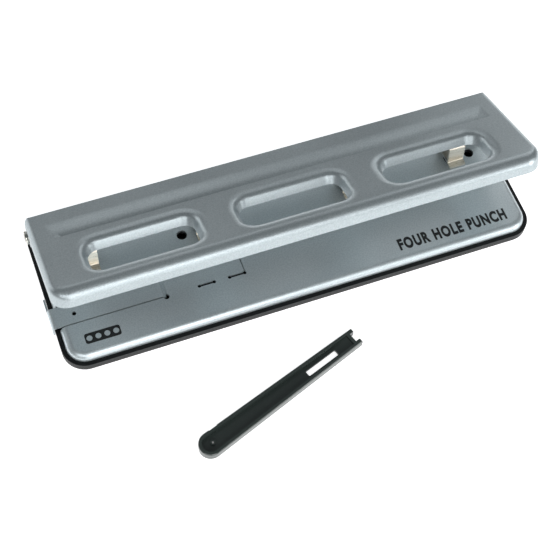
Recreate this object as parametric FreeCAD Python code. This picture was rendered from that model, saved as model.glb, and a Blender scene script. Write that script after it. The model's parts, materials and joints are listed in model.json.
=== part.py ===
import FreeCAD, Part
import math
import os

from FreeCAD import Vector

# A desktop four-hole paper punch with a full-width press lid, and its loose hand tool.
# Millimetres. +X right, +Y back, +Z up; the origin is the centre of the base at table height.

# ---- base: tray, deck and punch frame ----
base_width = 319.5
base_depth = 101.6
foot_drop = 1.0                # gap between the table and the tray's underside
tray_top = 6.5                 # ledge that the deck stands on
tray_floor = 1.8
tray_wall = 2.4
tray_flange = 2.0              # thickness of the ledge
front_corner = 15.0
rear_corner = 5.0
deck_inset = 2.8
deck_top = 11.6
deck_sheet = 1.2
deck_bend = 5.0                # outer radius of the deck's rolled edge
deck_corner_spare = 0.6        # the rear corners are this much larger than the rolled edge
tongue_height = 1.2            # rib on the tray that locates the deck's skirt
tongue_wall = 1.2
locating_gap = 0.4
frame_sheet = 1.6
frame_gap = 1.4                # room between frame and deck for the side guide's tongue
frame_margin = 5.0             # from the deck's outline to the frame plate
frame_front_corner = 6.0
frame_rear_corner = 0.2
rib_wall = 1.6
rib_gap = 1.0                  # from the ribs to the door's opening and to the straps' feet
rib_end_inset = 8.0            # from the ears to the ribs' ends
foot_radius = 6.0
foot_inset = 11.0
foot_recess = 0.8
foot_to_door = 1.0             # the middle foot stands this far ahead of the chip door's opening

# ---- lid ----
lid_end_inset = 0.55           # base's end to the lid's end
lid_depth = 82.0
lid_sheet = 1.2
skirt = 11.5
rear_lip = 5.0
front_bend = 7.0
side_bend = 4.2
rear_bend = 1.6
lid_front_corner = 11.6
lid_rear_corner = 2.6
rest_tilt = 22.1               # the lid stands this far open by itself
press_tilt = 4.0               # and goes this far below level when pressed home
window_length = 67.6           # clear opening at the foot of the rims
window_width = 24.2
window_corner = 7.6
window_pitch = 96.5
window_from_back = 53.8
window_lead = 12.0             # the rim leaves the top on this radius
window_lead_angle = 20.0       # to this slope,
window_roll = 4.7              # and goes on round this one
window_wall_angle = 65.0       # to a straight wall of this slope
window_collar = 7.5            # depth of the rim below the lid's top
bead_end_inset = 10.6
bead_rear = 12.5               # the pressed bead, measured forward from the lid's back edge
bead_bottom = 25.1
bead_front = 28.8
bead_depth = 3.2
bead_end_ease = 8.0            # length over which the bead's ends run out
bead_entry = 3.0               # slope, in degrees, at which it leaves the top
bead_over = 0.6                # the pressing form is drawn up to this far above the top

# ---- pivot ----
pivot_from_rear = 17.5         # base's rear edge to the pivot
pivot_height = 32.8
lid_above_pivot = 10.9
lid_behind_pivot = 6.0
ear_radius = 6.0
ear_front = 11.0               # foot of the ear ahead of and behind the pivot
ear_back = 9.5
ear_horn = 7.8
ear_shoulder = 3.0             # height of the ear's straight foot above the deck
ear_slot_gap = 0.4
lobe_width = 2.6
journal_radius = 3.9
journal_wall = 0.9
journal_head_width = 0.6
journal_head_thickness = 1.9
journal_head_round = 0.85
journal_inner_head = 1.0
spacer_width = 1.1
spacer_length = 6.3
running_gap = 0.05
side_play = 0.3
stop_gap = 0.25

# ---- punch stations ----
inner_hole = 50.8              # holes at 3, 4 and 3 inch spacing
outer_hole = 127.0
lever_arm = 16.7               # pivot to the row of pins
hole_to_stop = 6.6
throat = 4.4                   # room for paper above the deck
strap_width = 11.3
strap_sheet = 1.5
strap_bend = 0.5
strap_lip = 4.2
strap_lean = 8.0
strap_front = 6.4              # the strap's front face ahead of the pins
web_height = 14.5              # top of the strap's web above the throat
strap_foot = 9.0
pin_radius = 2.0
pin_gap = 0.03
pin_lift = 0.4                 # tip above the throat at rest
head_width = 2.2
head_thickness = 2.4
head_gap = 0.5
bush_wall = 0.57
bush_flange_width = 1.1
bush_flange_thickness = 0.8
bush_length = 4.3
stripper_thickness = 1.2
clip_thickness = 0.6
clip_width = 1.1
groove_depth = 0.4
spring_wire = 0.6
spring_gap = 0.5
spring_turns = 5
die_wall = 2.44
die_flange_width = 1.0
die_flange_thickness = 1.0
die_land = 2.5
die_gap = 0.06
die_relief_step = 0.74
die_below_deck = 0.1
die_hole_gap = 0.1             # die to the deck's hole
strap_slot_gap = 0.25          # strap to the deck's slot,
strap_frame_gap = 0.1          # and to the frame's
tip_hollow_radius = 3.2        # the pin's end is hollowed to this radius,
tip_hollow_depth = 0.6         # this deep
head_chamfer = 0.5
clip_mouth = 2.4
spring_seat_gap = 0.02
index_hole_radius = 3.4
index_hole_offset = 13.7
rivet_radius = 1.4
rivet_head = 2.3
rivet_head_under = 0.8
rivet_head_over = 0.9
rivet_pitch = 6.0

# ---- side guide ----
guide_from_front = 28.4
guide_width = 13.9
guide_length = 72.2            # from the base's end to the plate's inner end
guide_gap = 0.7
guide_tongue = 46.0
guide_tongue_width = 10.5
guide_step = 1.3               # how far the tongue is set down to pass under the deck
guide_side_gap = 0.3
guide_flange_bottom = 3.0
guide_arm_top = 5.4
guide_arm_length = 11.0
guide_bend = 1.4
guide_step_bend = 0.3
guide_eye = 1.4
guide_eye_from_end = 58.1      # the plate's inner end to the eye
guide_eye_from_front = 6.5
slit_width = 1.5
slit_end = 1.2
slit_from_front = 28.3
slits = ((-65.7, -55.8), (-45.4, -35.2))
slit_return = 12.0
slit_return_width = 0.6
relief_radius = 1.8
relief_inset = 0.8
frame_window_margin = 2.5      # the frame is open this far round the slits,
frame_hole_margin = 1.0        # and round the relief hole and the guide's eye
rear_relief_radius = 1.3
rear_relief_inset = 3.0        # deck's end to the hole behind the guide

# ---- fasteners and chip door ----
screw_radius = 1.5
screw_head = 2.8
screw_head_height = 1.6
screw_gap = 0.3                # round the shank in the tray
screw_head_gap = 0.4           # round the head, and over it
screw_end_gap = 0.3            # shank's end to the deck
cross_half = 1.8
cross_width = 0.7
cross_depth = 0.8
boss_radius = 5.5
nut_radius = 3.4
nut_gap = 0.1                  # nut to the frame's hole
nut_lift = 0.2
nut_bore_gap = 0.05
front_screw_x = 110.0
rear_screw_x = 90.0
front_screw_inset = 15.8
rear_screw_inset = 13.8
door_half_length = 139.7
door_thickness = 1.6
door_front = 11.0              # ahead of the pin row
door_back = 10.6
door_barrel = 1.4
door_pintle = 0.9
door_gap = 0.35
door_grip_inset = 60.0         # the grip groove stops this far from the door's ends
door_grip_from_front = 3.0
door_grip_radius = 0.7
pintle_end_gap = 0.7
hinge_block = 4.0
hinge_block_half = 2.4
hinge_block_over = 2.2         # its top above the barrel's centre

# ---- loose hand tool ----
tool_x = -92.4
tool_y = -123.0
tool_angle = 19.3
tool_length = 117.0
tool_height = 6.2
tool_end_radius = 7.7
tool_fork_half = 5.8
tool_wall = 2.2
tool_floor = 1.6
tool_slot_start = 76.5
tool_slot_end = 100.5
tool_slot_width = 3.8
fork_depth = 3.4
fork_half_gap = 3.0
tool_edge = 0.9                # radius of the upper edge
tool_head_wall = 2.2           # wall between the channel and the fork's notch
tool_scoop_length = 14.0
tool_scoop_top = 4.4
tool_relief = (4.0, 10.3, 0.75)    # start, end and depth of the finger relief
tool_slot_corner = 0.6
tool_boss = (2.0, 0.6)
tool_boss_height = 1.8
tool_boss_radius = 1.7
tool_boss_bore = 0.7

# ---- places that follow from the sizes above ----
half_width = base_width / 2
half_depth = base_depth / 2
pivot_y = half_depth - pivot_from_rear
pin_y = pivot_y - lever_arm
stop_y = pin_y + hole_to_stop
deck_under = deck_top - deck_sheet
frame_top = deck_under - frame_gap
frame_bottom = frame_top - frame_sheet
floor_top = foot_drop + tray_floor
throat_top = deck_top + throat
web_top = throat_top + web_height
stations = (-outer_hole, -inner_hole, inner_hole, outer_hole)
deck_roll = min(deck_bend, deck_top - tray_top - 0.1)
deck_rear_corner = deck_roll + deck_corner_spare
bush_radius = pin_radius + pin_gap + bush_wall
bush_flange = bush_radius + bush_flange_width
groove_radius = pin_radius - groove_depth
clip_radius = pin_radius + clip_width
head_radius = pin_radius + head_width
spring_radius = bush_radius + spring_gap
die_radius = pin_radius + die_gap + die_wall
die_flange = die_radius + die_flange_width
die_relief = pin_radius + die_gap + die_relief_step
journal_bore = journal_radius - journal_wall
journal_head = journal_radius + journal_head_width
spacer_radius = journal_radius + spacer_width
lobe_radius = journal_radius + lobe_width
lid_half = half_width - lid_end_inset
lid_back = pivot_y + lid_behind_pivot
lid_front = lid_back - lid_depth
lid_top = pivot_height + lid_above_pivot
window_y = lid_back - window_from_back
lead_turn, wall_turn = math.radians(window_lead_angle), math.radians(window_wall_angle)
# the roll's centre, measured from where the rim leaves the top
roll_out = (window_lead - window_roll) * math.sin(lead_turn)
roll_down = window_lead - (window_lead - window_roll) * math.cos(lead_turn)
wall_depth = window_collar - roll_down + window_roll * math.cos(wall_turn)
rim_width = roll_out + window_roll * math.sin(wall_turn) + wall_depth / math.tan(wall_turn)
bead_arm = bead_bottom - lid_behind_pivot
bead_under = lid_above_pivot - bead_depth - lid_sheet
ear_outer = lid_half - lid_sheet - side_play - spacer_length
ear_inner = ear_outer - frame_sheet


def bead_height(tilt):
    """Height of the bead's underside above the pivot when the lid is raised by tilt degrees."""
    turn = math.radians(tilt)
    return bead_arm * math.sin(turn) + bead_under * math.cos(turn)


pin_travel = bead_height(rest_tilt) - bead_height(-press_tilt)
head_top = pivot_height + bead_height(rest_tilt) - head_gap
head_under = head_top - head_thickness
pin_tip = throat_top + pin_lift
bush_bottom = web_top - bush_length + bush_flange_thickness
clip_top = bush_bottom - 0.1


# ---- helpers ----
def disc(x, y, z, radius, height):
    return Part.makeCylinder(radius, height, Vector(x, y, z))


def bar(x, y, z, radius, length):
    """A round bar along X that starts at x."""
    return Part.makeCylinder(radius, length, Vector(x, y, z), Vector(1, 0, 0))


def block(x0, x1, y0, y1, z0, z1):
    return Part.makeBox(x1 - x0, y1 - y0, z1 - z0, Vector(x0, y0, z0))


def rounded_wire(x0, x1, y0, y1, z, front, rear):
    """A closed outline with one radius at its two front corners and one at its two rear corners."""
    s = math.sqrt(0.5)
    corners = [(x1, y0, -1, 1, front), (x1, y1, -1, -1, rear), (x0, y1, 1, -1, rear), (x0, y0, 1, 1, front)]
    arcs = []
    for number, (x, y, sx, sy, r) in enumerate(corners):
        cx, cy = x + sx * r, y + sy * r
        ends = [Vector(cx, y, z), Vector(x, cy, z)]
        if number % 2:
            ends.reverse()
        arcs.append((ends[0], Vector(cx - sx * r * s, cy - sy * r * s, z), ends[1]))
    edges = []
    for number, (start, middle, end) in enumerate(arcs):
        edges.append(Part.Arc(start, middle, end).toShape())
        following = arcs[(number + 1) % 4][0]
        edges.append(Part.LineSegment(end, following).toShape())
    return Part.Wire(edges)


def rounded_block(x0, x1, y0, y1, z0, z1, front, rear):
    face = Part.Face(rounded_wire(x0, x1, y0, y1, z0, front, rear))
    return face.extrude(Vector(0, 0, z1 - z0))


def polygon(points):
    return Part.Face(Part.makePolygon(list(points) + [points[0]]))


def revolved(profile, x, y):
    """Turns a closed outline of (radius, height) points about a vertical axis at x, y."""
    points = [Vector(x + r, y, z) for r, z in profile]
    return polygon(points).revolve(Vector(x, y, 0), Vector(0, 0, 1), 360)


def bent_strip(points, bends, sheet, place):
    """The section of a folded sheet. points is its middle line, bends the inner radius at each corner,
    and place turns a (u, w) pair into a point in space."""
    pts = [Vector(u, w, 0) for u, w in points]
    radii = [r + sheet / 2 for r in bends]
    nodes = []
    for i in range(1, len(pts) - 1):
        back = (pts[i - 1] - pts[i]).normalize()
        on = (pts[i + 1] - pts[i]).normalize()
        half = back.getAngle(on) / 2
        reach = radii[i - 1] / math.tan(half)
        centre = pts[i] + (back + on).normalize() * (radii[i - 1] / math.sin(half))
        left = back.cross(on).z < 0
        nodes.append((pts[i] + back * reach, pts[i] + on * reach, centre, radii[i - 1], left))
    edges, first, last = [], None, None
    for side in (1, -1):
        previous = pts[0]
        direction = (pts[1] - pts[0]).normalize()
        start = previous + Vector(-direction.y, direction.x, 0) * (side * sheet / 2)
        here, run = start, []
        for enter, leave, centre, radius, left in nodes:
            size = radius - side * sheet / 2 if left else radius + side * sheet / 2
            a = centre + (enter - centre).normalize() * size
            b = centre + (leave - centre).normalize() * size
            m = centre + ((enter - centre).normalize() + (leave - centre).normalize()).normalize() * size
            run.append(("line", here, a))
            run.append(("arc", a, m, b))
            here = b
        direction = (pts[-1] - pts[-2]).normalize()
        end = pts[-1] + Vector(-direction.y, direction.x, 0) * (side * sheet / 2)
        run.append(("line", here, end))
        edges.append((start, run, end))
    first, last = edges
    outline = list(first[1]) + [("line", first[2], last[2])]
    for step in reversed(last[1]):
        outline.append((step[0],) + tuple(reversed(step[1:])))
    outline.append(("line", last[0], first[0]))
    made = []
    for step in outline:
        spots = [place(p.x, p.y) for p in step[1:]]
        if step[0] == "arc":
            made.append(Part.Arc(*spots).toShape())
        elif (spots[1] - spots[0]).Length > 1e-6:
            made.append(Part.LineSegment(*spots).toShape())
    return Part.Face(Part.Wire(made))


def fuse(shapes):
    shapes = list(shapes)
    return shapes[0].multiFuse(shapes[1:]).removeSplitter()


def rounded_rim(solid, radii):
    """Rolls the top edges of a plain block. radii gives the radius wanted at a point of the rim."""
    doc = FreeCAD.newDocument("rim")
    base = doc.addObject("Part::Feature", "Base")
    base.Shape = solid
    fillet = doc.addObject("Part::Fillet", "Rim")
    fillet.Base = base
    top = solid.BoundBox.ZMax
    chosen = []
    for number, edge in enumerate(solid.Edges, 1):
        if abs(edge.BoundBox.ZMin - top) < 1e-6:
            ends = [radii(edge.valueAt(t)) for t in (edge.FirstParameter, edge.LastParameter)]
            chosen.append((number, ends[0], ends[1]))
    fillet.Edges = chosen
    doc.recompute()
    rolled = fillet.Shape.copy()
    FreeCAD.closeDocument(doc.Name)
    return rolled


# ---- base ----
def make_tray():
    w, d = half_width, half_depth
    body = rounded_block(-w, w, -d, d, foot_drop, tray_top, front_corner, rear_corner)
    ledge = deck_inset + deck_sheet + locating_gap
    t = ledge + tongue_wall
    tongue = rounded_block(-w + ledge, w - ledge, -d + ledge, d - ledge, tray_top, tray_top + tongue_height,
                           front_corner - ledge, deck_rear_corner - deck_sheet - locating_gap)
    body = body.fuse(tongue)
    mouth = rounded_block(-w + t, w - t, -d + t, d - t, tray_top - tray_flange, tray_top + tongue_height,
                          front_corner - t, deck_rear_corner - deck_sheet - locating_gap - tongue_wall)
    hollow = rounded_block(-w + tray_wall, w - tray_wall, -d + tray_wall, d - tray_wall, floor_top,
                           tray_top - tray_flange, front_corner - tray_wall, rear_corner - tray_wall)
    body = body.cut(mouth).cut(hollow)
    added = [disc(x, y, floor_top, boss_radius, frame_bottom - floor_top) for x, y in screw_places()]
    front_rib = pin_y - door_front - door_gap - rib_wall - rib_gap
    rear_rib = stop_y + strap_sheet + strap_foot + rib_gap
    rib_half = ear_inner - rib_end_inset
    for y in (front_rib, rear_rib):
        added.append(block(-rib_half, rib_half, y, y + rib_wall, floor_top, frame_bottom))
    x, y, z = door_axis()
    for side in (-1, 1):
        near, far = x + door_gap, x + door_gap + hinge_block
        x0, x1 = sorted((side * near, side * far))
        added.append(block(x0, x1, y - hinge_block_half, y + hinge_block_half, foot_drop,
                           z + hinge_block_over))
    body = body.multiFuse(added)
    cuts = [block(-x - door_gap, x + door_gap, pin_y - door_front - door_gap, y + door_barrel + door_gap,
                  foot_drop, floor_top + 3.0)]
    pintle_hole = x + hinge_block
    cuts.append(bar(-pintle_hole, y, z, door_pintle + running_gap, 2 * pintle_hole))
    for sx, sy in screw_places():
        cuts.append(disc(sx, sy, foot_drop, screw_radius + screw_gap, frame_bottom))
        cuts.append(disc(sx, sy, foot_drop, screw_head + screw_head_gap, screw_seat() - foot_drop))
    for fx, fy in foot_places():
        cuts.append(disc(fx, fy, foot_drop, foot_radius, foot_recess))
    return body.cut(fuse(cuts)).removeSplitter()


def screw_places():
    front = -half_depth + front_screw_inset
    rear = half_depth - rear_screw_inset
    return [(s * front_screw_x, front) for s in (-1, 1)] + [(s * rear_screw_x, rear) for s in (-1, 1)]


def screw_seat():
    return foot_drop + screw_head_gap + screw_head_height


def foot_places():
    x, y = half_width - foot_inset, half_depth - foot_inset
    middle = pin_y - door_front - door_gap - foot_radius - foot_to_door
    return [(-x, -y), (x, -y), (x, y), (-x, y), (0, middle)]


def door_axis():
    """Half length of the chip door and the line its barrel turns about."""
    return door_half_length, pin_y + door_back, foot_drop + door_barrel


def deck_block(inset):
    w, d = half_width - deck_inset - inset, half_depth - deck_inset - inset
    front, rear = front_corner - deck_inset - inset, deck_rear_corner - inset
    low = tray_top - (deck_sheet if inset else 0)
    body = rounded_block(-w, w, -d, d, low, deck_top - inset, front, rear)
    return rounded_rim(body, lambda p: deck_roll - inset)


def make_deck():
    deck = deck_block(0).cut(deck_block(deck_sheet))
    cuts = []
    low, tall = frame_top, deck_top
    for x in stations:
        cuts.append(disc(x, pin_y, low, die_radius + die_hole_gap, tall))
        side = math.copysign(index_hole_offset, x)
        cuts.append(disc(x + side, pin_y, low, index_hole_radius, tall))
        room = strap_width / 2 + strap_slot_gap
        cuts.append(block(x - room, x + room, stop_y - strap_slot_gap, stop_y + strap_sheet + strap_slot_gap,
                          low, tall + low))
    for side in (-1, 1):
        x0, x1 = sorted((side * (ear_inner - side_play), side * (ear_outer + side_play)))
        cuts.append(block(x0, x1, pivot_y - ear_front - ear_slot_gap, pivot_y + ear_back + ear_slot_gap,
                          low, tall + low))
    front = guide_front() - guide_gap
    back = guide_front() + guide_width + guide_gap
    inner = guide_inner() + guide_gap
    cuts.append(block(-half_width, inner, front, back, tray_top - 1, tall + low))
    cuts.append(disc(inner - relief_inset, front, low, relief_radius, tall))
    cuts.append(disc(-half_width + deck_inset + rear_relief_inset, back, low, rear_relief_radius, tall))
    y = -half_depth + slit_from_front
    for x0, x1 in slits:
        cuts.append(block(x0, x1, y - slit_width / 2, y + slit_width / 2, low, tall + low))
        cuts += [disc(x, y, low, slit_end, tall) for x in (x0, x1)]
    end = slits[-1][1]
    cuts.append(block(end, end + slit_return_width, y, y + slit_return, low, tall + low))
    return deck.cut(fuse(cuts)).removeSplitter()


def make_frame():
    x, y = ear_outer, half_depth - deck_inset - frame_margin
    plate = rounded_block(-x, x, -y, y, frame_bottom, frame_top, frame_front_corner, frame_rear_corner)
    lip_y = lid_behind_pivot * math.cos(math.radians(rest_tilt))
    lip_z = (lid_above_pivot - rear_lip) * math.cos(math.radians(rest_tilt))
    lip_z -= lid_behind_pivot * math.sin(math.radians(rest_tilt))
    horn = pivot_height + lip_z - stop_gap
    straight = deck_top + ear_shoulder
    outline = [(pivot_y - ear_front, frame_bottom), (pivot_y - ear_front, straight),
               (pivot_y - ear_radius, pivot_height), (pivot_y, horn), (pivot_y + ear_horn, horn),
               (pivot_y + ear_horn, pivot_height - lip_y), (pivot_y + ear_back, straight),
               (pivot_y + ear_back, frame_bottom)]
    ears = []
    for side in (-1, 1):
        start = min(side * ear_inner, side * ear_outer)
        face = polygon([Vector(start, y, z) for y, z in outline])
        ear = face.extrude(Vector(frame_sheet, 0, 0))
        ear = ear.fuse(bar(start, pivot_y, pivot_height, ear_radius, frame_sheet))
        ears.append(ear.cut(bar(start, pivot_y, pivot_height, journal_radius, frame_sheet)))
    frame = fuse([plate] + ears)
    cuts = []
    for x in stations:
        cuts.append(disc(x, pin_y, frame_bottom, die_radius, frame_sheet))
        cuts.append(disc(x + math.copysign(index_hole_offset, x), pin_y, frame_bottom, index_hole_radius,
                         frame_sheet))
        room = strap_width / 2 + strap_frame_gap
        cuts.append(block(x - room, x + room, stop_y - strap_frame_gap,
                          stop_y + strap_sheet + strap_bend + strap_frame_gap, frame_bottom, frame_top))
        cuts += [disc(rx, ry, frame_bottom, rivet_radius, frame_sheet) for rx, ry in rivet_places(x)]
    cuts += [disc(sx, sy, frame_bottom, nut_radius + nut_gap, frame_sheet) for sx, sy in screw_places()]
    y, around = -half_depth + slit_from_front, slit_width / 2 + frame_window_margin
    for x0, x1 in slits:
        cuts.append(block(x0 - around, x1 + around, y - around, y + around, frame_bottom, frame_top))
    cuts.append(disc(guide_inner() + guide_gap - relief_inset, guide_front() - guide_gap, frame_bottom,
                     relief_radius + frame_hole_margin, frame_sheet))
    cuts.append(disc(*guide_eye_place(), frame_bottom, guide_eye + frame_hole_margin, frame_sheet))
    return frame.cut(fuse(cuts)).removeSplitter()


def make_feet():
    return Part.makeCompound([disc(x, y, 0, foot_radius, foot_drop + foot_recess) for x, y in foot_places()])


def make_screws():
    screws = []
    for x, y in screw_places():
        head = disc(x, y, screw_seat() - screw_head_height, screw_head, screw_head_height)
        shank = disc(x, y, screw_seat(), screw_radius, deck_under - screw_end_gap - screw_seat())
        z = screw_seat() - screw_head_height
        thin, top = cross_width / 2, z + cross_depth
        cross = [block(x - cross_half, x + cross_half, y - thin, y + thin, z, top),
                 block(x - thin, x + thin, y - cross_half, y + cross_half, z, top)]
        screws.append(head.fuse(shank).cut(fuse(cross)).removeSplitter())
    return Part.makeCompound(screws)


def make_nuts():
    low = frame_bottom + nut_lift
    return Part.makeCompound([disc(x, y, low, nut_radius, deck_under - low).cut(
        disc(x, y, low, screw_radius + nut_bore_gap, deck_under - low)) for x, y in screw_places()])


def make_door():
    x, y, z = door_axis()
    plate = block(-x, x, pin_y - door_front, y, foot_drop, foot_drop + door_thickness)
    grip = bar(-x + door_grip_inset, pin_y - door_front + door_grip_from_front, foot_drop, door_grip_radius,
               2 * (x - door_grip_inset))
    barrel = bar(-x, y, z, door_barrel, 2 * x)
    reach = x + hinge_block - pintle_end_gap
    pintles = bar(-reach, y, z, door_pintle, 2 * reach)
    return fuse([plate.cut(grip), barrel, pintles])


# ---- punch stations ----
def rivet_places(x):
    y = stop_y + strap_sheet + strap_foot / 2
    return [(x - rivet_pitch / 2, y), (x + rivet_pitch / 2, y)]


def make_strap(x):
    mid = strap_sheet / 2
    front = pin_y - strap_front
    low, high = throat_top + mid, web_top - mid
    top = front + mid + (high - low) * math.tan(math.radians(strap_lean))
    rear = stop_y + mid
    path = [(front - strap_lip, low), (front + mid, low), (top, high), (rear, high),
            (rear, frame_bottom - mid), (rear + strap_foot, frame_bottom - mid)]
    place = lambda y, z: Vector(x - strap_width / 2, y, z)
    strap = bent_strip(path, [strap_bend] * 4, strap_sheet, place).extrude(Vector(strap_width, 0, 0))
    holes = [disc(x, pin_y, high - 2, bush_radius, 4)]
    holes += [disc(rx, ry, frame_bottom - 3, rivet_radius, 3) for rx, ry in rivet_places(x)]
    return strap.cut(fuse(holes))


def make_bush(x):
    bore = pin_radius + pin_gap
    rim = web_top + bush_flange_thickness
    return revolved([(bore, bush_bottom), (bush_radius, bush_bottom), (bush_radius, web_top),
                     (bush_flange, web_top), (bush_flange, rim), (bore, rim)], x, pin_y)


def make_stripper(x):
    front = pin_y - strap_front + strap_sheet + 0.3
    plate = block(x - strap_width / 2, x + strap_width / 2, front, stop_y, throat_top,
                  throat_top + stripper_thickness)
    return plate.cut(disc(x, pin_y, throat_top, pin_radius + pin_gap, stripper_thickness))


def make_die(x):
    top, seat = deck_top - die_below_deck, frame_bottom
    bore, low = pin_radius + die_gap, frame_bottom - die_flange_thickness
    return revolved([(die_relief, low), (die_flange, low), (die_flange, seat), (die_radius, seat),
                     (die_radius, top), (bore, top), (bore, top - die_land), (die_relief, top - die_land)],
                    x, pin_y)


def make_pin(x):
    groove_low, groove_high = clip_top - clip_thickness - 0.05, clip_top + 0.05
    pin = revolved([(0, pin_tip), (pin_radius, pin_tip), (pin_radius, groove_low),
                    (groove_radius, groove_low), (groove_radius, groove_high),
                    (pin_radius, groove_high), (pin_radius, head_under),
                    (head_radius, head_under), (head_radius, head_top - head_chamfer),
                    (head_radius - head_chamfer, head_top), (0, head_top)], x, pin_y)
    centre = pin_tip + tip_hollow_depth - tip_hollow_radius
    hollow_tip = bar(x - pin_radius - 1, pin_y, centre, tip_hollow_radius, 2 * pin_radius + 2)
    return pin.cut(hollow_tip)


def make_clip(x):
    low = clip_top - clip_thickness
    ring = disc(x, pin_y, low, clip_radius, clip_thickness)
    mouth = block(x, x + clip_radius, pin_y - clip_mouth / 2, pin_y + clip_mouth / 2, low, clip_top)
    return ring.cut(disc(x, pin_y, low, groove_radius + 0.03, clip_thickness)).cut(mouth)


def make_spring(x):
    low = web_top + bush_flange_thickness + spring_wire / 2 + spring_seat_gap
    high = head_under - spring_wire / 2 - spring_seat_gap
    helix = Part.makeHelix((high - low) / spring_turns, high - low, spring_radius)
    section = Part.Wire(Part.makeCircle(spring_wire / 2, Vector(spring_radius, 0, 0), Vector(0, 1, 0)))
    coil = Part.Wire(helix.Edges).makePipeShell([section], True, True)
    coil.translate(Vector(x, pin_y, low))
    return coil


def make_rivets():
    rivets = []
    for station in stations:
        for x, y in rivet_places(station):
            low = frame_bottom - strap_sheet
            rivets.append(fuse([disc(x, y, low - rivet_head_under, rivet_head, rivet_head_under),
                                disc(x, y, low, rivet_radius, frame_top - low),
                                disc(x, y, frame_top, rivet_head, rivet_head_over)]))
    return Part.makeCompound(rivets)


def make_journal(side):
    """The hollow rivet that the lid turns on, through one ear of the frame and one side of the lid."""
    inside, outside = lid_half - lid_sheet - side_play, lid_half + side_play
    steps = [(ear_inner - journal_inner_head, ear_inner, journal_head),
             (ear_inner, ear_outer, journal_radius),
             (ear_outer, inside, spacer_radius), (inside, outside, journal_radius),
             (outside, outside + journal_head_thickness, journal_head)]
    solids = []
    for x0, x1, radius in steps:
        solids.append(bar(min(side * x0, side * x1), pivot_y, pivot_height, radius, x1 - x0))
    circles = [edge for edge in solids[-1].Edges if edge.BoundBox.XLength < 1e-6]
    solids[-1] = solids[-1].makeFillet(journal_head_round, circles)
    start = min(side * steps[0][0], side * steps[-1][1])
    length = steps[-1][1] - steps[0][0]
    return fuse(solids).cut(bar(start, pivot_y, pivot_height, journal_bore, length))


# ---- lid ----
def lid_radius(point, inset):
    if point.y < lid_front + lid_front_corner / 2:
        return front_bend - inset
    if point.y > lid_back - lid_rear_corner / 2:
        return rear_bend - inset
    return side_bend - inset


def lid_block(inset):
    x, low = lid_half - inset, lid_top - skirt - (front_bend if inset else 0)
    body = rounded_block(-x, x, lid_front + inset, lid_back - inset, low, lid_top - inset,
                         lid_front_corner - inset, lid_rear_corner - inset)
    return rounded_rim(body, lambda p: lid_radius(p, inset))


def shoulder(start, end, grow):
    """The arc that eases the lid's top into the bead: centre, radius, first and last slope."""
    entry = math.radians(bead_entry)
    last = 2 * math.atan2(bead_depth, end - start) - entry
    radius = (end - start) / (math.sin(last) - math.sin(entry))
    return start - radius * math.sin(entry), -radius * math.cos(entry), radius - grow, entry, last


def bead_form(grow):
    """The pressed bead as a solid: grow 0 is the valley, and the sheet's thickness is its back."""
    rise = bead_over
    steep = math.atan2(bead_depth, bead_front - bead_bottom)
    along = (math.cos(steep), math.sin(steep))
    cu, cw, radius, entry, last = shoulder(bead_rear, bead_bottom, grow)
    bu, bw = bead_bottom + grow * along[1], -bead_depth - grow * along[0]
    dot = (bu - cu) * along[0] + (bw - cw) * along[1]
    off = (bu - cu) ** 2 + (bw - cw) ** 2 - radius ** 2
    step = -dot + math.sqrt(dot * dot - off)
    last = math.atan2(bu + step * along[0] - cu, bw + step * along[1] - cw)

    def spot(angle, centre=(cu, cw)):
        return centre[0] + radius * math.sin(angle), centre[1] + radius * math.cos(angle)

    def place(u, w):
        return Vector(-half_width, lid_back - u, lid_top + w)

    enter, foot = spot(entry), spot(last)
    back = (enter[0] - (rise - enter[1]) / math.tan(entry), rise)
    front = (foot[0] + (rise - foot[1]) / math.tan(steep), rise)
    edges = [Part.LineSegment(place(*back), place(*enter)).toShape(),
             Part.Arc(place(*enter), place(*spot((entry + last) / 2)), place(*foot)).toShape(),
             Part.LineSegment(place(*foot), place(*front)).toShape(),
             Part.LineSegment(place(*front), place(*back)).toShape()]
    slope = Part.Face(Part.Wire(edges)).extrude(Vector(base_width, 0, 0))

    half, floor = lid_half - bead_end_inset, -skirt
    cu, cw, radius, entry, last = shoulder(-half, bead_end_ease - half, grow)

    def end_edges(side):
        points = [spot(a, (cu, cw)) for a in (entry, (entry + last) / 2, last)]
        out = points[0][0] - (rise - points[0][1]) / math.tan(entry)
        rim, a, b, c, d = [Vector(-side * u, lid_front, lid_top + w)
                           for u, w in [(out, rise)] + points + [(points[2][0], floor)]]
        return rim, d, [Part.LineSegment(rim, a).toShape(), Part.Arc(a, b, c).toShape(),
                        Part.LineSegment(c, d).toShape()]

    left, right = end_edges(1), end_edges(-1)
    ends = Part.Face(Part.Wire([*left[2], Part.LineSegment(left[1], right[1]).toShape(),
                                *reversed(right[2]), Part.LineSegment(right[0], left[0]).toShape()]))
    form = slope.common(ends.extrude(Vector(0, lid_depth, 0)))
    # the back stays within the sheet, so that nothing stands out through the rolled edges
    return form.common(lid_block(grow / 2)) if grow else form


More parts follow.
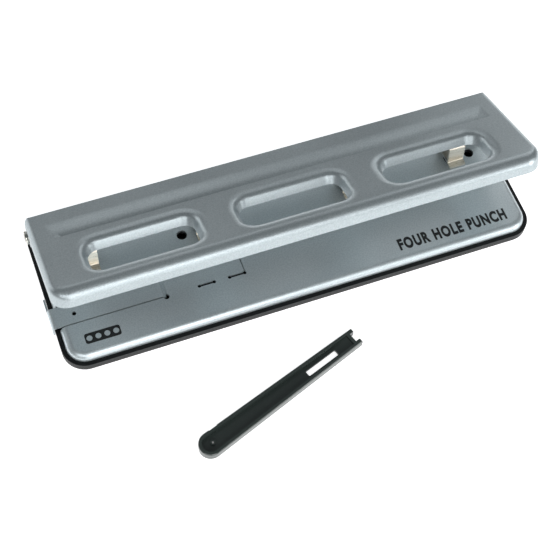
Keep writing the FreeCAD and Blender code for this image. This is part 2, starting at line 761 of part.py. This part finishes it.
def window_rim(x):
    """The rolled-down edge of one window, a swept section of the sheet."""
    path = rounded_wire(x - window_length / 2, x + window_length / 2, window_y - window_width / 2,
                        window_y + window_width / 2, lid_top, window_corner, window_corner)
    start = path.Edges[0].valueAt(path.Edges[0].FirstParameter)

    def on_sheet(turn, under):
        """Where the sheet has turned down by this much, on its top or its underside."""
        if turn <= lead_turn:
            out, z, radius = rim_width, -window_lead, window_lead
        else:
            out, z, radius = rim_width - roll_out, -roll_down, window_roll
        radius -= under
        return Vector(start.x, start.y - out + radius * math.sin(turn), lid_top + z + radius * math.cos(turn))

    def arc(first, last, under):
        turns = (first, (first + last) / 2, last)
        return Part.Arc(*[on_sheet(t, under) for t in turns]).toShape()

    foot = Vector(start.x, start.y, lid_top - window_collar)
    inner_foot = foot + Vector(0, -lid_sheet * math.sin(wall_turn), -lid_sheet * math.cos(wall_turn))
    tops = [arc(0, lead_turn, 0), arc(lead_turn, wall_turn, 0)]
    unders = [arc(0, lead_turn, lid_sheet), arc(lead_turn, wall_turn, lid_sheet)]
    edges = tops + [Part.LineSegment(on_sheet(wall_turn, 0), foot).toShape(),
                    Part.LineSegment(foot, inner_foot).toShape(),
                    Part.LineSegment(inner_foot, on_sheet(wall_turn, lid_sheet)).toShape(), *unders,
                    Part.LineSegment(on_sheet(0, lid_sheet), on_sheet(0, 0)).toShape()]
    edges = Part.__sortEdges__(edges)
    return path.makePipeShell([Part.Wire(edges)], True, False)


def make_lid():
    inner = lid_block(lid_sheet)
    shell = lid_block(0).cut(inner)
    lip = block(-lid_half + lid_sheet, lid_half - lid_sheet, lid_back - lid_rear_corner, lid_back + 1,
                lid_top - 2 * skirt, lid_top - rear_lip)
    shell = shell.cut(lip)
    shell = shell.fuse(bead_form(lid_sheet)).cut(bead_form(0))
    outer_x, outer_y = window_length / 2 + rim_width, window_width / 2 + rim_width
    corner = window_corner + rim_width
    for x in (-window_pitch, 0, window_pitch):
        hole = rounded_block(x - outer_x, x + outer_x, window_y - outer_y, window_y + outer_y,
                             lid_top - skirt, lid_top + 1, corner, corner)
        shell = shell.cut(hole).fuse(window_rim(x))
    for side in (-1, 1):
        start = min(side * lid_half, side * (lid_half - lid_sheet))
        lobe = bar(start, pivot_y, pivot_height, lobe_radius, lid_sheet)
        shell = shell.fuse(lobe)
        shell = shell.cut(bar(start, pivot_y, pivot_height, journal_radius + running_gap, lid_sheet))
    shell = shell.removeSplitter()
    return raised(shell)


def raised(shape):
    """Turns something drawn with the lid level up to where the lid rests."""
    lifted = shape.copy()
    lifted.rotate(Vector(0, pivot_y, pivot_height), Vector(1, 0, 0), -rest_tilt)
    return lifted


# ---- side guide ----
def guide_front():
    return -half_depth + guide_from_front


def guide_inner():
    return -half_width + guide_length


def guide_eye_place():
    return guide_inner() - guide_eye_from_end, guide_front() + guide_eye_from_front


def make_guide():
    t = deck_sheet
    wall = -half_width - guide_side_gap - t / 2
    high = deck_top - t / 2
    low = high - guide_step
    inner = guide_inner()
    path = [(wall, guide_flange_bottom), (wall, high), (inner - t - guide_step, high), (inner - t, low),
            (inner + guide_tongue, low)]
    place = lambda x, z: Vector(x, guide_front(), z)
    guide = bent_strip(path, [guide_bend, guide_step_bend, guide_step_bend], t, place)
    guide = guide.extrude(Vector(0, guide_width, 0))
    spare = (guide_width - guide_tongue_width) / 2
    back = guide_front() + guide_width
    cuts = [block(inner, inner + guide_tongue + 1, guide_front(), guide_front() + spare, low - 2, high + 2),
            block(inner, inner + guide_tongue + 1, back - spare, back, low - 2, high + 2),
            disc(*guide_eye_place(), high - 1, guide_eye, 2),
            disc(inner + guide_gap - relief_inset, guide_front() - guide_gap, high - t, relief_radius, 2 * t)]
    arm = block(wall - t / 2, wall + t / 2, back - 1, back + guide_arm_length,
                guide_flange_bottom, guide_arm_top)
    return guide.cut(fuse(cuts)).fuse(arm).removeSplitter()


# ---- hand tool ----
def make_tool():
    r, w, length, top = tool_end_radius, tool_fork_half, tool_length, tool_height
    slope = (r - w) / length

    def outline(inset, start, end, z, height):
        points = [(start, r - inset - slope * start), (start, -r + inset + slope * start),
                  (end, -r + inset + slope * end), (end, r - inset - slope * end)]
        return polygon([Vector(x, y, z) for x, y in points]).extrude(Vector(0, 0, height))

    body = fuse([disc(0, 0, 0, r, top), outline(0, 0, length, 0, top)])
    rim = [e for e in body.Edges if e.BoundBox.ZMin > top - 1e-6]
    body = body.makeFillet(tool_edge, rim)
    channel = fuse([disc(0, 0, tool_floor, r - tool_wall, top),
                    outline(tool_wall, 0, length - fork_depth - tool_head_wall, tool_floor, top)])
    near, far = length - fork_depth - tool_scoop_length, length - fork_depth
    scoop = polygon([Vector(near, -w, tool_floor - 0.01), Vector(far, -w, tool_floor - 0.01),
                     Vector(far, -w, tool_scoop_top)]).extrude(Vector(0, 2 * w, 0))
    scoop = scoop.common(outline(tool_wall, near, length, tool_floor - 0.1, top))
    notch = block(length - fork_depth, length + 1, -fork_half_gap, fork_half_gap, 0, top)
    start, end, deep = tool_relief
    relief = block(start, end, r - deep, r + 1, 0, top)
    slot = rounded_block(tool_slot_start, tool_slot_end, -tool_slot_width / 2, tool_slot_width / 2, 0, top,
                         tool_slot_corner, tool_slot_corner)
    boss = disc(*tool_boss, tool_floor, tool_boss_radius, tool_boss_height)
    tool = body.cut(channel).fuse(scoop).fuse(boss)
    tool = tool.cut(fuse([notch, relief, slot, disc(*tool_boss, 0, tool_boss_bore, top)])).removeSplitter()
    tool.rotate(Vector(0, 0, 0), Vector(0, 0, 1), tool_angle)
    tool.translate(Vector(tool_x, tool_y, 0))
    return tool


parts = {
    "base_tray": make_tray(),
    "deck_cover": make_deck(),
    "punch_frame": make_frame(),
    "rubber_feet": make_feet(),
    "base_screws": make_screws(),
    "deck_nuts": make_nuts(),
    "chip_door": make_door(),
    "bracket_rivets": make_rivets(),
    "hinge_rivet_left": make_journal(-1),
    "hinge_rivet_right": make_journal(1),
    "press_lid": make_lid(),
    "side_guide": make_guide(),
    "hand_tool": make_tool(),
}
for number, station in enumerate(stations, 1):
    parts[f"station_strap_{number}"] = make_strap(station)
    parts[f"guide_bush_{number}"] = make_bush(station)
    parts[f"stripper_plate_{number}"] = make_stripper(station)
    parts[f"punch_die_{number}"] = make_die(station)
    parts[f"punch_pin_{number}"] = make_pin(station)
    parts[f"pin_clip_{number}"] = make_clip(station)
    parts[f"pin_spring_{number}"] = make_spring(station)

os.makedirs("parts", exist_ok=True)
for name, shape in parts.items():
    shape.exportStep(f"parts/{name}.step")
    print(name, "solids", len(shape.Solids), "valid", shape.isValid(), "volume", round(shape.Volume, 1))
print("pin travel", round(pin_travel, 3), "mm, ratio",
      round(pin_travel / 1000 / math.radians(rest_tilt + press_tilt), 6), "m/rad")
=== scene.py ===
import json
import math

import bmesh
import bpy
from mathutils import Matrix, Vector


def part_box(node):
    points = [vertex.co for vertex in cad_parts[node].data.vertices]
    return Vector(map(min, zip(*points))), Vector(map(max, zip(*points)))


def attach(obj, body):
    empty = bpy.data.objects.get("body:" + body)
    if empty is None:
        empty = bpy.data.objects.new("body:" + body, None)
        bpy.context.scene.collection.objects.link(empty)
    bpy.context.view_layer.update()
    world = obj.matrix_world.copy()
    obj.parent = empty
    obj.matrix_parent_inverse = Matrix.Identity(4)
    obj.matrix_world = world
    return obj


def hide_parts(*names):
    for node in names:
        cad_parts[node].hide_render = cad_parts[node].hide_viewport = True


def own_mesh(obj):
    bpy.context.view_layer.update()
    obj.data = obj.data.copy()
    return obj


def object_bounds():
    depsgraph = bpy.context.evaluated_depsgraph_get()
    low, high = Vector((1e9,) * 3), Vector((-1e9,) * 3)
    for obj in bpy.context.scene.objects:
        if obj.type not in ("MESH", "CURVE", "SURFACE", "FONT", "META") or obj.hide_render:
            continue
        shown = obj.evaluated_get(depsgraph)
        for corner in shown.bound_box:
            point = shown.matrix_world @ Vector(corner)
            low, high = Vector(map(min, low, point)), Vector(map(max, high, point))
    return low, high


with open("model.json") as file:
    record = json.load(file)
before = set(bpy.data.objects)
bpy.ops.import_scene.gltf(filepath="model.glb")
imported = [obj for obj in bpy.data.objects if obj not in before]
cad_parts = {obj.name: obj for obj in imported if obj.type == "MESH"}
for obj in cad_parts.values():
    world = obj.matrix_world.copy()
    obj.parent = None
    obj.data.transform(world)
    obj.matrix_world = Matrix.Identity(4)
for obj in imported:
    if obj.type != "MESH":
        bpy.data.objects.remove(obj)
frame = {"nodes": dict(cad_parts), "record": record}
cadLow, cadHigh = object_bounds()
mm = 0.001
stations = (1, 2, 3, 4)  # the four punching stations, left to right
print("frame loaded", len(frame["nodes"]), "nodes")


def linear(code):
    # sRGB hex to linear
    parts = [int(code[i:i + 2], 16) / 255 for i in (1, 3, 5)]
    return tuple(p / 12.92 if p <= 0.04045 else ((p + 0.055) / 1.055) ** 2.4 for p in parts) + (1.0,)


def addNode(tree, kind, values=None, **settings):
    # values are numbers or sockets, by input name or number
    node = tree.nodes.new(kind)
    for key, value in settings.items():
        setattr(node, key, value)
    for key, value in (values or {}).items():
        if isinstance(value, bpy.types.NodeSocket):
            tree.links.new(value, node.inputs[key])
        else:
            node.inputs[key].default_value = value
    return node


def newMaterial(name):
    material = bpy.data.materials.new(name)
    material.use_nodes = True
    tree = material.node_tree
    tree.nodes.clear()
    coords = addNode(tree, "ShaderNodeTexCoord").outputs["Object"]
    return material, tree, coords


def finishMaterial(tree, shader):
    addNode(tree, "ShaderNodeOutputMaterial", {"Surface": shader.outputs[0]})


def mixColours(tree, factor, first, second):
    node = addNode(tree, "ShaderNodeMix", {0: factor, 6: first, 7: second}, data_type="RGBA")
    return node.outputs[2]


def rangeOf(tree, value, low, high, fromLow=0.35, fromHigh=0.65):
    node = addNode(tree, "ShaderNodeMapRange",
                   {"Value": value, "From Min": fromLow, "From Max": fromHigh, "To Min": low, "To Max": high})
    return node.outputs["Result"]


def noiseOf(tree, coords, sizeMm, detail, roughness=0.5):
    # a noise with grains about sizeMm across
    node = addNode(tree, "ShaderNodeTexNoise", {"Vector": coords, "Scale": 1 / (sizeMm * mm), "Detail": detail,
                                                "Roughness": roughness})
    return node.outputs[0]


def bumpOf(tree, height, strength, depthMm):
    node = addNode(tree, "ShaderNodeBump", {"Height": height, "Strength": strength, "Distance": depthMm * mm})
    return node.outputs[0]


# Aluminium-flake paint baked on steel: a satin sheen that turns bright or grey with the light,
# a faint sparkle of flakes and a very slight orange peel.
paint = {"colour": "#a9b3b7", "flakeLight": "#bcc5c8", "flakeMm": 0.9, "peelMm": 2.2, "handledMm": 60,
         "roughness": (0.34, 0.40), "metallic": 0.75, "peelDepthMm": 0.004}
# The deck's coat is the same paint as the lid, drawn a little lighter as painted light so that the deck shows
# brighter than the lid
deckPaintLitCopy = dict(paint, colour="#c3ced2", flakeLight="#d6dfe2")


def flakePaint(name, values):
    material, tree, coords = newMaterial(name)
    # real flakes are near 0.05 mm; drawn coarser so that they show
    flakes = noiseOf(tree, coords, values["flakeMm"], detail=2.0, roughness=0.7)
    handled = noiseOf(tree, coords, values["handledMm"], detail=3.0)
    peel = noiseOf(tree, coords, values["peelMm"], detail=1.0)
    colour = mixColours(tree, rangeOf(tree, flakes, 0.0, 1.0),
                        linear(values["colour"]), linear(values["flakeLight"]))
    shader = addNode(tree, "ShaderNodeBsdfPrincipled", {
        "Base Color": colour, "Metallic": values["metallic"],
        "Normal": bumpOf(tree, peel, 0.35, values["peelDepthMm"]),
        "Roughness": rangeOf(tree, handled, *values["roughness"])})
    finishMaterial(tree, shader)
    return material


# ABS moulded against a spark-eroded tool: deep black with a dull, even grain.
absBlack = {"colour": "#0f1213", "grainMm": 0.8,
            "roughness": (0.42, 0.54), "grainDepthMm": 0.02, "shine": 0.25}
# Polished styrene: nearly black with a green cast, sharp reflections and faint flow marks.
styrene = {"colour": "#343d3a", "grainMm": 9.0,
           "roughness": (0.16, 0.26), "grainDepthMm": 0.01, "shine": 0.8}
# Moulded rubber: dull, slightly grey.
rubber = {"colour": "#202020", "grainMm": 0.5,
          "roughness": (0.72, 0.85), "grainDepthMm": 0.02, "shine": 0.5}


def mouldedPlastic(name, values, ior=1.54):
    material, tree, coords = newMaterial(name)
    grain = noiseOf(tree, coords, values["grainMm"], detail=3.0, roughness=0.6)
    shader = addNode(tree, "ShaderNodeBsdfPrincipled", {
        "Base Color": linear(values["colour"]), "IOR": ior, "Specular IOR Level": values["shine"],
        "Normal": bumpOf(tree, grain, 0.4, values["grainDepthMm"]),
        "Roughness": rangeOf(tree, grain, *values["roughness"])})
    finishMaterial(tree, shader)
    return material


# Bright nickel on rolled strip: warm and mirror-like, with the strip's fine rolling lines.
nickel = {"colour": "#ece6da", "dark": "#d2cabb", "lineMm": 0.5, "stretch": (0.04, 1, 1),
          "roughness": (0.26, 0.38)}
# Zinc plate on sheet: cool grey with a soft spangle.
zinc = {"colour": "#babfc0", "dark": "#9ea4a6", "lineMm": 3.0, "stretch": (1, 1, 1),
        "roughness": (0.28, 0.42)}
# Ground tool steel: fine lines round the pin and a clean shine.
ground = {"colour": "#b9b8b2", "dark": "#98978f", "lineMm": 0.4, "stretch": (0.1, 0.1, 1),
          "roughness": (0.18, 0.3)}
# Hard-drawn spring wire with an oil-dark skin.
wire = {"colour": "#8e8e8a", "dark": "#5f5f5b", "lineMm": 0.6, "stretch": (1, 1, 1),
        "roughness": (0.25, 0.4)}
# Bright plated rivet: nearly a mirror.
plated = {"colour": "#dddcd6", "dark": "#c8c6be", "lineMm": 2.0, "stretch": (1, 1, 1),
          "roughness": (0.1, 0.18)}


def bareMetal(name, values):
    material, tree, coords = newMaterial(name)
    along = addNode(tree, "ShaderNodeMapping", {"Vector": coords, "Scale": values["stretch"]})
    lines = noiseOf(tree, along.outputs[0], values["lineMm"], detail=3.0, roughness=0.65)
    colour = mixColours(tree, rangeOf(tree, lines, 0.0, 1.0),
                        linear(values["dark"]), linear(values["colour"]))
    shader = addNode(tree, "ShaderNodeBsdfPrincipled", {
        "Base Color": colour, "Metallic": 1.0, "Normal": bumpOf(tree, lines, 0.25, 0.005),
        "Roughness": rangeOf(tree, lines, *values["roughness"])})
    finishMaterial(tree, shader)
    return material


# Screen-printed enamel ink: flat charcoal with slightly uneven cover.
ink = {"colour": "#0c1011", "thin": "#171b1c", "coverMm": 1.5, "roughness": (0.45, 0.6)}


def printedInk(name, values):
    material, tree, coords = newMaterial(name)
    cover = noiseOf(tree, coords, values["coverMm"], detail=3.0)
    colour = mixColours(tree, rangeOf(tree, cover, 0.0, 1.0),
                        linear(values["colour"]), linear(values["thin"]))
    shader = addNode(tree, "ShaderNodeBsdfPrincipled", {
        "Base Color": colour, "Roughness": rangeOf(tree, cover, *values["roughness"])})
    finishMaterial(tree, shader)
    return material


lidPaint = flakePaint("flakePaintLid", paint)
# the deck's copy of the lid paint is lightened: painted light, not a different paint
deckLitPaintMaterial = flakePaint("flakePaintDeckLitCopy", deckPaintLitCopy)
trayBlack = mouldedPlastic("mouldedAbsBlack", absBlack)
toolBlack = mouldedPlastic("polishedStyreneBlack", styrene, 1.59)
footRubber = mouldedPlastic("mouldedRubber", rubber, 1.52)
strapNickel = bareMetal("brightNickelStrip", nickel)
sheetZinc = bareMetal("zincPlatedSteel", zinc)
toolSteel = bareMetal("groundToolSteel", ground)
springSteel = bareMetal("drawnSpringWire", wire)
rivetPlate = bareMetal("brightPlatedRivet", plated)
markInk = printedInk("printedEnamelInk", ink)
print("materials made")


def bodyOf(node):
    return next(b for b, names in frame["record"]["behaviour"]["bodies"].items() if node in names)


# creases under the sharp angle shade as curves, and large flats lead the shading beside them
smoothing = {"mergeMm": 0.002, "sharpAngle": 38, "flatWeight": 60}


def smoothPiece(node, name, material):
    # the same shape, with its rolled edges shaded as curves and its flats kept flat
    bm = bmesh.new()
    bm.from_mesh(frame["nodes"][node].data)
    bmesh.ops.remove_doubles(bm, verts=bm.verts, dist=smoothing["mergeMm"] * mm)
    bm.verts.index_update()
    mesh = bpy.data.meshes.new(name)
    mesh.from_pydata([v.co[:] for v in bm.verts], [], [[v.index for v in f.verts] for f in bm.faces])
    bm.free()
    mesh.shade_smooth()
    mesh.set_sharp_from_angle(angle=math.radians(smoothing["sharpAngle"]))
    mesh.materials.append(material)
    piece = bpy.data.objects.new(name, mesh)
    bpy.context.collection.objects.link(piece)
    weighted = piece.modifiers.new("flats", "WEIGHTED_NORMAL")
    weighted.weight = smoothing["flatWeight"]
    weighted.keep_sharp = True
    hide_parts(node)
    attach(piece, bodyOf(node))
    return piece


smoothPiece("press_lid", "lidPressing", lidPaint)
smoothPiece("deck_cover", "deckPressing", deckLitPaintMaterial)
smoothPiece("side_guide", "sideGuidePlate", deckLitPaintMaterial)
smoothPiece("base_tray", "trayMoulding", trayBlack)
smoothPiece("hand_tool", "handToolMoulding", toolBlack)
smoothPiece("hinge_rivet_left", "hingeRivetLeft", rivetPlate)
smoothPiece("hinge_rivet_right", "hingeRivetRight", rivetPlate)
for number in stations:
    smoothPiece(f"station_strap_{number}", f"strap{number}", strapNickel)
    smoothPiece(f"punch_pin_{number}", f"punchPin{number}", toolSteel)
    smoothPiece(f"guide_bush_{number}", f"guideBush{number}", toolSteel)
    smoothPiece(f"punch_die_{number}", f"die{number}", toolSteel)
    smoothPiece(f"pin_clip_{number}", f"pinClip{number}", springSteel)
print("smooth pieces made")

plainNodes = {"punch_frame": sheetZinc, "bracket_rivets": sheetZinc, "base_screws": sheetZinc,
              "deck_nuts": sheetZinc, "chip_door": trayBlack, "rubber_feet": footRubber}
plainNodes.update({f"stripper_plate_{number}": sheetZinc for number in stations})
for node, material in plainNodes.items():
    mesh = frame["nodes"][node].data
    mesh.materials.clear()
    mesh.materials.append(material)
print("plain nodes finished")


def newTree(name, inputs):
    tree = bpy.data.node_groups.new(name, "GeometryNodeTree")
    tree.interface.new_socket("Geometry", in_out="INPUT", socket_type="NodeSocketGeometry")
    for label, kind, value in inputs:
        socket = tree.interface.new_socket(label, in_out="INPUT", socket_type=kind)
        socket.default_value = value
    tree.interface.new_socket("Geometry", in_out="OUTPUT", socket_type="NodeSocketGeometry")
    return tree, addNode(tree, "NodeGroupInput").outputs


def closeTree(tree, geometry, material):
    real = addNode(tree, "GeometryNodeRealizeInstances", {"Geometry": geometry})
    painted = addNode(tree, "GeometryNodeSetMaterial", {"Geometry": real.outputs[0], "Material": material})
    addNode(tree, "NodeGroupOutput", {0: painted.outputs[0]})


def grow(name, tree, values, sharpAngle=40):
    # runs a tree on an empty mesh and keeps the result as a plain one
    piece = bpy.data.objects.new(name, bpy.data.meshes.new(name + "Empty"))
    bpy.context.collection.objects.link(piece)
    modifier = piece.modifiers.new("grow", "NODES")
    modifier.node_group = tree
    for item in tree.interface.items_tree:
        if item.in_out == "INPUT" and item.name in values:
            modifier[item.identifier] = values[item.name]
    evaluated = piece.evaluated_get(bpy.context.evaluated_depsgraph_get())
    result = bpy.data.meshes.new_from_object(evaluated)
    result.name = name
    piece.modifiers.clear()
    piece.data = result
    result.shade_smooth()
    result.set_sharp_from_angle(angle=math.radians(sharpAngle))
    return piece


# Coil springs: open turns between two closed end coils, sizes in mm.
# The clip that each spring bears on lies below the pin's top, and comes down with the pin.
spring = {"wireRadius": 0.3, "turns": 5.0, "clipBelowTop": 2.4, "pinTravel": 8.3,
          "turnSteps": 28, "ringSteps": 40, "wireSteps": 10}


def springTree():
    tree, given = newTree("coilSpring", [
        ("Wire Radius", "NodeSocketFloat", 0.0003), ("Coil Radius", "NodeSocketFloat", 0.003),
        ("Turns", "NodeSocketFloat", 5.0), ("Height", "NodeSocketFloat", 0.01),
        ("Foot", "NodeSocketVector", (0, 0, 0))])
    coil = addNode(tree, "GeometryNodeCurveSpiral", {
        "Resolution": spring["turnSteps"], "Rotations": given["Turns"], "Start Radius": given["Coil Radius"],
        "End Radius": given["Coil Radius"], "Height": given["Height"]})
    ring = addNode(tree, "GeometryNodeCurvePrimitiveCircle", {
        "Resolution": spring["ringSteps"], "Radius": given["Coil Radius"]})
    lift = addNode(tree, "ShaderNodeCombineXYZ", {"Z": given["Height"]})
    upper = addNode(tree, "GeometryNodeTransform", {"Geometry": ring.outputs[0], "Translation": lift.outputs[0]})
    turns = addNode(tree, "GeometryNodeJoinGeometry")
    for part in (upper.outputs[0], ring.outputs[0], coil.outputs[0]):
        tree.links.new(part, turns.inputs[0])
    section = addNode(tree, "GeometryNodeCurvePrimitiveCircle", {
        "Resolution": spring["wireSteps"], "Radius": given["Wire Radius"]})
    tube = addNode(tree, "GeometryNodeCurveToMesh", {
        "Curve": turns.outputs[0], "Profile Curve": section.outputs[0], "Fill Caps": True})
    placed = addNode(tree, "GeometryNodeTransform", {"Geometry": tube.outputs[0], "Translation": given["Foot"]})
    closeTree(tree, placed.outputs[0], springSteel)
    return tree


coilSpring = springTree()
for number in stations:
    low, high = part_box(f"pin_spring_{number}")
    radius = spring["wireRadius"] * mm
    piece = grow(f"pinSpring{number}", coilSpring, {
        "Wire Radius": radius, "Coil Radius": (high[0] - low[0]) / 2 - radius, "Turns": spring["turns"],
        "Height": high[2] - low[2] - 2 * radius,
        "Foot": ((low[0] + high[0]) / 2, (low[1] + high[1]) / 2, low[2] + radius)})
    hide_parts(f"pin_spring_{number}")
    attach(piece, "base")
    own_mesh(piece)
print("springs made")

# Printing on the deck: a plain description and a pictogram of a punched strip.
# Sizes in mm; a place is left, right, front and back.
marks = {"words": "FOUR HOLE PUNCH", "wordsPlace": (66.6, 144.0, -39.7, -31.0),
         "weight": 0.052, "spacing": 1.2, "stripPlace": (-144.3, -121.5, -39.1, -31.9),
         "stripCorner": 1.6, "cornerSteps": 8, "holes": 4, "holeShare": 0.26, "holeSteps": 32,
         "extrude": 0.01, "thick": 0.04, "sunk": 0.01}
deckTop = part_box("deck_cover")[1][2]


def layOnDeck(obj, left, right, front, back):
    # sizes a flat mark to its place and makes it a thin mesh standing on the deck
    bpy.context.view_layer.update()
    mesh = bpy.data.meshes.new_from_object(obj.evaluated_get(bpy.context.evaluated_depsgraph_get()))
    lowX, highX = min(v.co.x for v in mesh.vertices), max(v.co.x for v in mesh.vertices)
    lowY, highY = min(v.co.y for v in mesh.vertices), max(v.co.y for v in mesh.vertices)
    lowZ, highZ = min(v.co.z for v in mesh.vertices), max(v.co.z for v in mesh.vertices)
    scaleX = (right - left) * mm / (highX - lowX)
    scaleY = (back - front) * mm / (highY - lowY)
    for v in mesh.vertices:
        level = marks["thick"] if v.co.z > (lowZ + highZ) / 2 else -marks["sunk"]
        v.co = ((v.co.x - lowX) * scaleX + left * mm, (v.co.y - lowY) * scaleY + front * mm,
                deckTop + level * mm)
    mesh.materials.clear()
    mesh.materials.append(markInk)
    piece = bpy.data.objects.new(obj.name + "Print", mesh)
    bpy.context.collection.objects.link(piece)
    bpy.data.objects.remove(obj)
    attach(piece, "base")
    return piece


words = bpy.data.objects.new("deckWords", bpy.data.curves.new("deckWords", "FONT"))
words.data.body = marks["words"]
words.data.offset = marks["weight"]
words.data.extrude = marks["extrude"]
words.data.space_character = marks["spacing"]
bpy.context.collection.objects.link(words)
layOnDeck(words, *marks["wordsPlace"])


def stripCurve():
    curve = bpy.data.curves.new("punchedStrip", "CURVE")
    curve.dimensions = "2D"
    curve.fill_mode = "BOTH"
    curve.extrude = marks["extrude"]
    left, right, front, back = marks["stripPlace"]
    width, height, corner = right - left, back - front, marks["stripCorner"]

    def closed(points):
        spline = curve.splines.new("POLY")
        spline.points.add(len(points) - 1)
        for point, (x, y) in zip(spline.points, points):
            point.co = (x, y, 0, 1)
        spline.use_cyclic_u = True

    outline = []
    for cx, cy, start in ((width - corner, corner, -90), (width - corner, height - corner, 0),
                          (corner, height - corner, 90), (corner, corner, 180)):
        for step in range(marks["cornerSteps"] + 1):
            a = math.radians(start + step * 90 / marks["cornerSteps"])
            outline.append((cx + corner * math.cos(a), cy + corner * math.sin(a)))
    closed(outline)
    around = [2 * math.pi * k / marks["holeSteps"] for k in range(marks["holeSteps"])]
    for n in range(marks["holes"]):
        cx, cy, r = width * (n + 0.5) / marks["holes"], height / 2, height * marks["holeShare"]
        closed([(cx + r * math.cos(a), cy + r * math.sin(a)) for a in around])
    return curve


strip = bpy.data.objects.new("punchedStrip", stripCurve())
bpy.context.collection.objects.link(strip)
layOnDeck(strip, *marks["stripPlace"])
print("marks printed")

# Studio: a pale floor that glows a little, wide soft lamps all round, and a weak pale room. Lengths in m.
studio = {"floorHalf": 6.0, "floorDrop": 0.0003, "floorColour": "#f4f4f4", "floorGlow": 0.86,
          "roomColour": "#dfe6ea", "roomStrength": 0.18, "lampDistance": 1.7, "lampSize": 0.9}
# each lamp: degrees round from straight behind, degrees up, watts
lamps = {"frontHigh": (180, 38, 7.0), "frontLow": (180, 15, 4.0), "rightLow": (135, 15, 10.5),
         "leftHigh": (225, 38, 5.1), "leftBack": (315, 15, 2.6), "backHigh": (0, 38, 1.4),
         "backRightHigh": (45, 38, 1.8), "backRightLow": (45, 15, 1.5)}
centre = (cadLow + cadHigh) / 2

floorMesh = bpy.data.meshes.new("floor")
half, level = studio["floorHalf"], -studio["floorDrop"]
floorMesh.from_pydata([(-half, -half, level), (half, -half, level), (half, half, level), (-half, half, level)],
                      [], [(0, 1, 2, 3)])
floor = bpy.data.objects.new("floor", floorMesh)
bpy.context.collection.objects.link(floor)
floorPaper, tree, _ = newMaterial("whiteBackdropPaper")
finishMaterial(tree, addNode(tree, "ShaderNodeBsdfPrincipled", {
    "Base Color": linear(studio["floorColour"]), "Roughness": 0.9, "Specular IOR Level": 0.1,
    "Emission Color": (1, 1, 1, 1), "Emission Strength": studio["floorGlow"]}))
floorMesh.materials.append(floorPaper)

for name, (around, up, watts) in lamps.items():
    light = bpy.data.lights.new(name, "AREA")
    light.shape, light.size, light.energy = "DISK", studio["lampSize"], watts
    holder = bpy.data.objects.new(name, light)
    around, up, reach = math.radians(around), math.radians(up), studio["lampDistance"]
    holder.location = centre + reach * Vector((math.sin(around) * math.cos(up), math.cos(around) * math.cos(up),
                                               math.sin(up)))
    holder.rotation_euler = (centre - holder.location).to_track_quat("-Z", "Y").to_euler()
    holder.visible_camera = False
    bpy.context.collection.objects.link(holder)

world = bpy.data.worlds.new("room")
world.use_nodes = True
world.node_tree.nodes["Background"].inputs[0].default_value = linear(studio["roomColour"])
world.node_tree.nodes["Background"].inputs[1].default_value = studio["roomStrength"]
bpy.context.scene.world = world
bpy.context.scene.view_settings.view_transform = "Standard"

# Camera, placed in m
lens = {"at": (-0.18885, -0.37987, 0.71598), "right": (0.93613, -0.34726, 0.05547),
        "up": (0.27984, 0.83115, 0.48051), "forward": (0.21297, 0.43429, -0.87524),
        "focalMm": 82.46, "sensorMm": 36, "nearest": 0.01}
camera = bpy.data.objects.new("camera", bpy.data.cameras.new("camera"))
camera.data.lens = lens["focalMm"]
camera.data.sensor_width = lens["sensorMm"]
camera.data.clip_start = lens["nearest"]
right, up, forward = (Vector(lens[k]) for k in ("right", "up", "forward"))
turn = Matrix((right, up, -forward)).transposed().to_4x4()
camera.matrix_world = Matrix.Translation(Vector(lens["at"])) @ turn
bpy.context.collection.objects.link(camera)
bpy.context.scene.camera = camera
print("studio set")
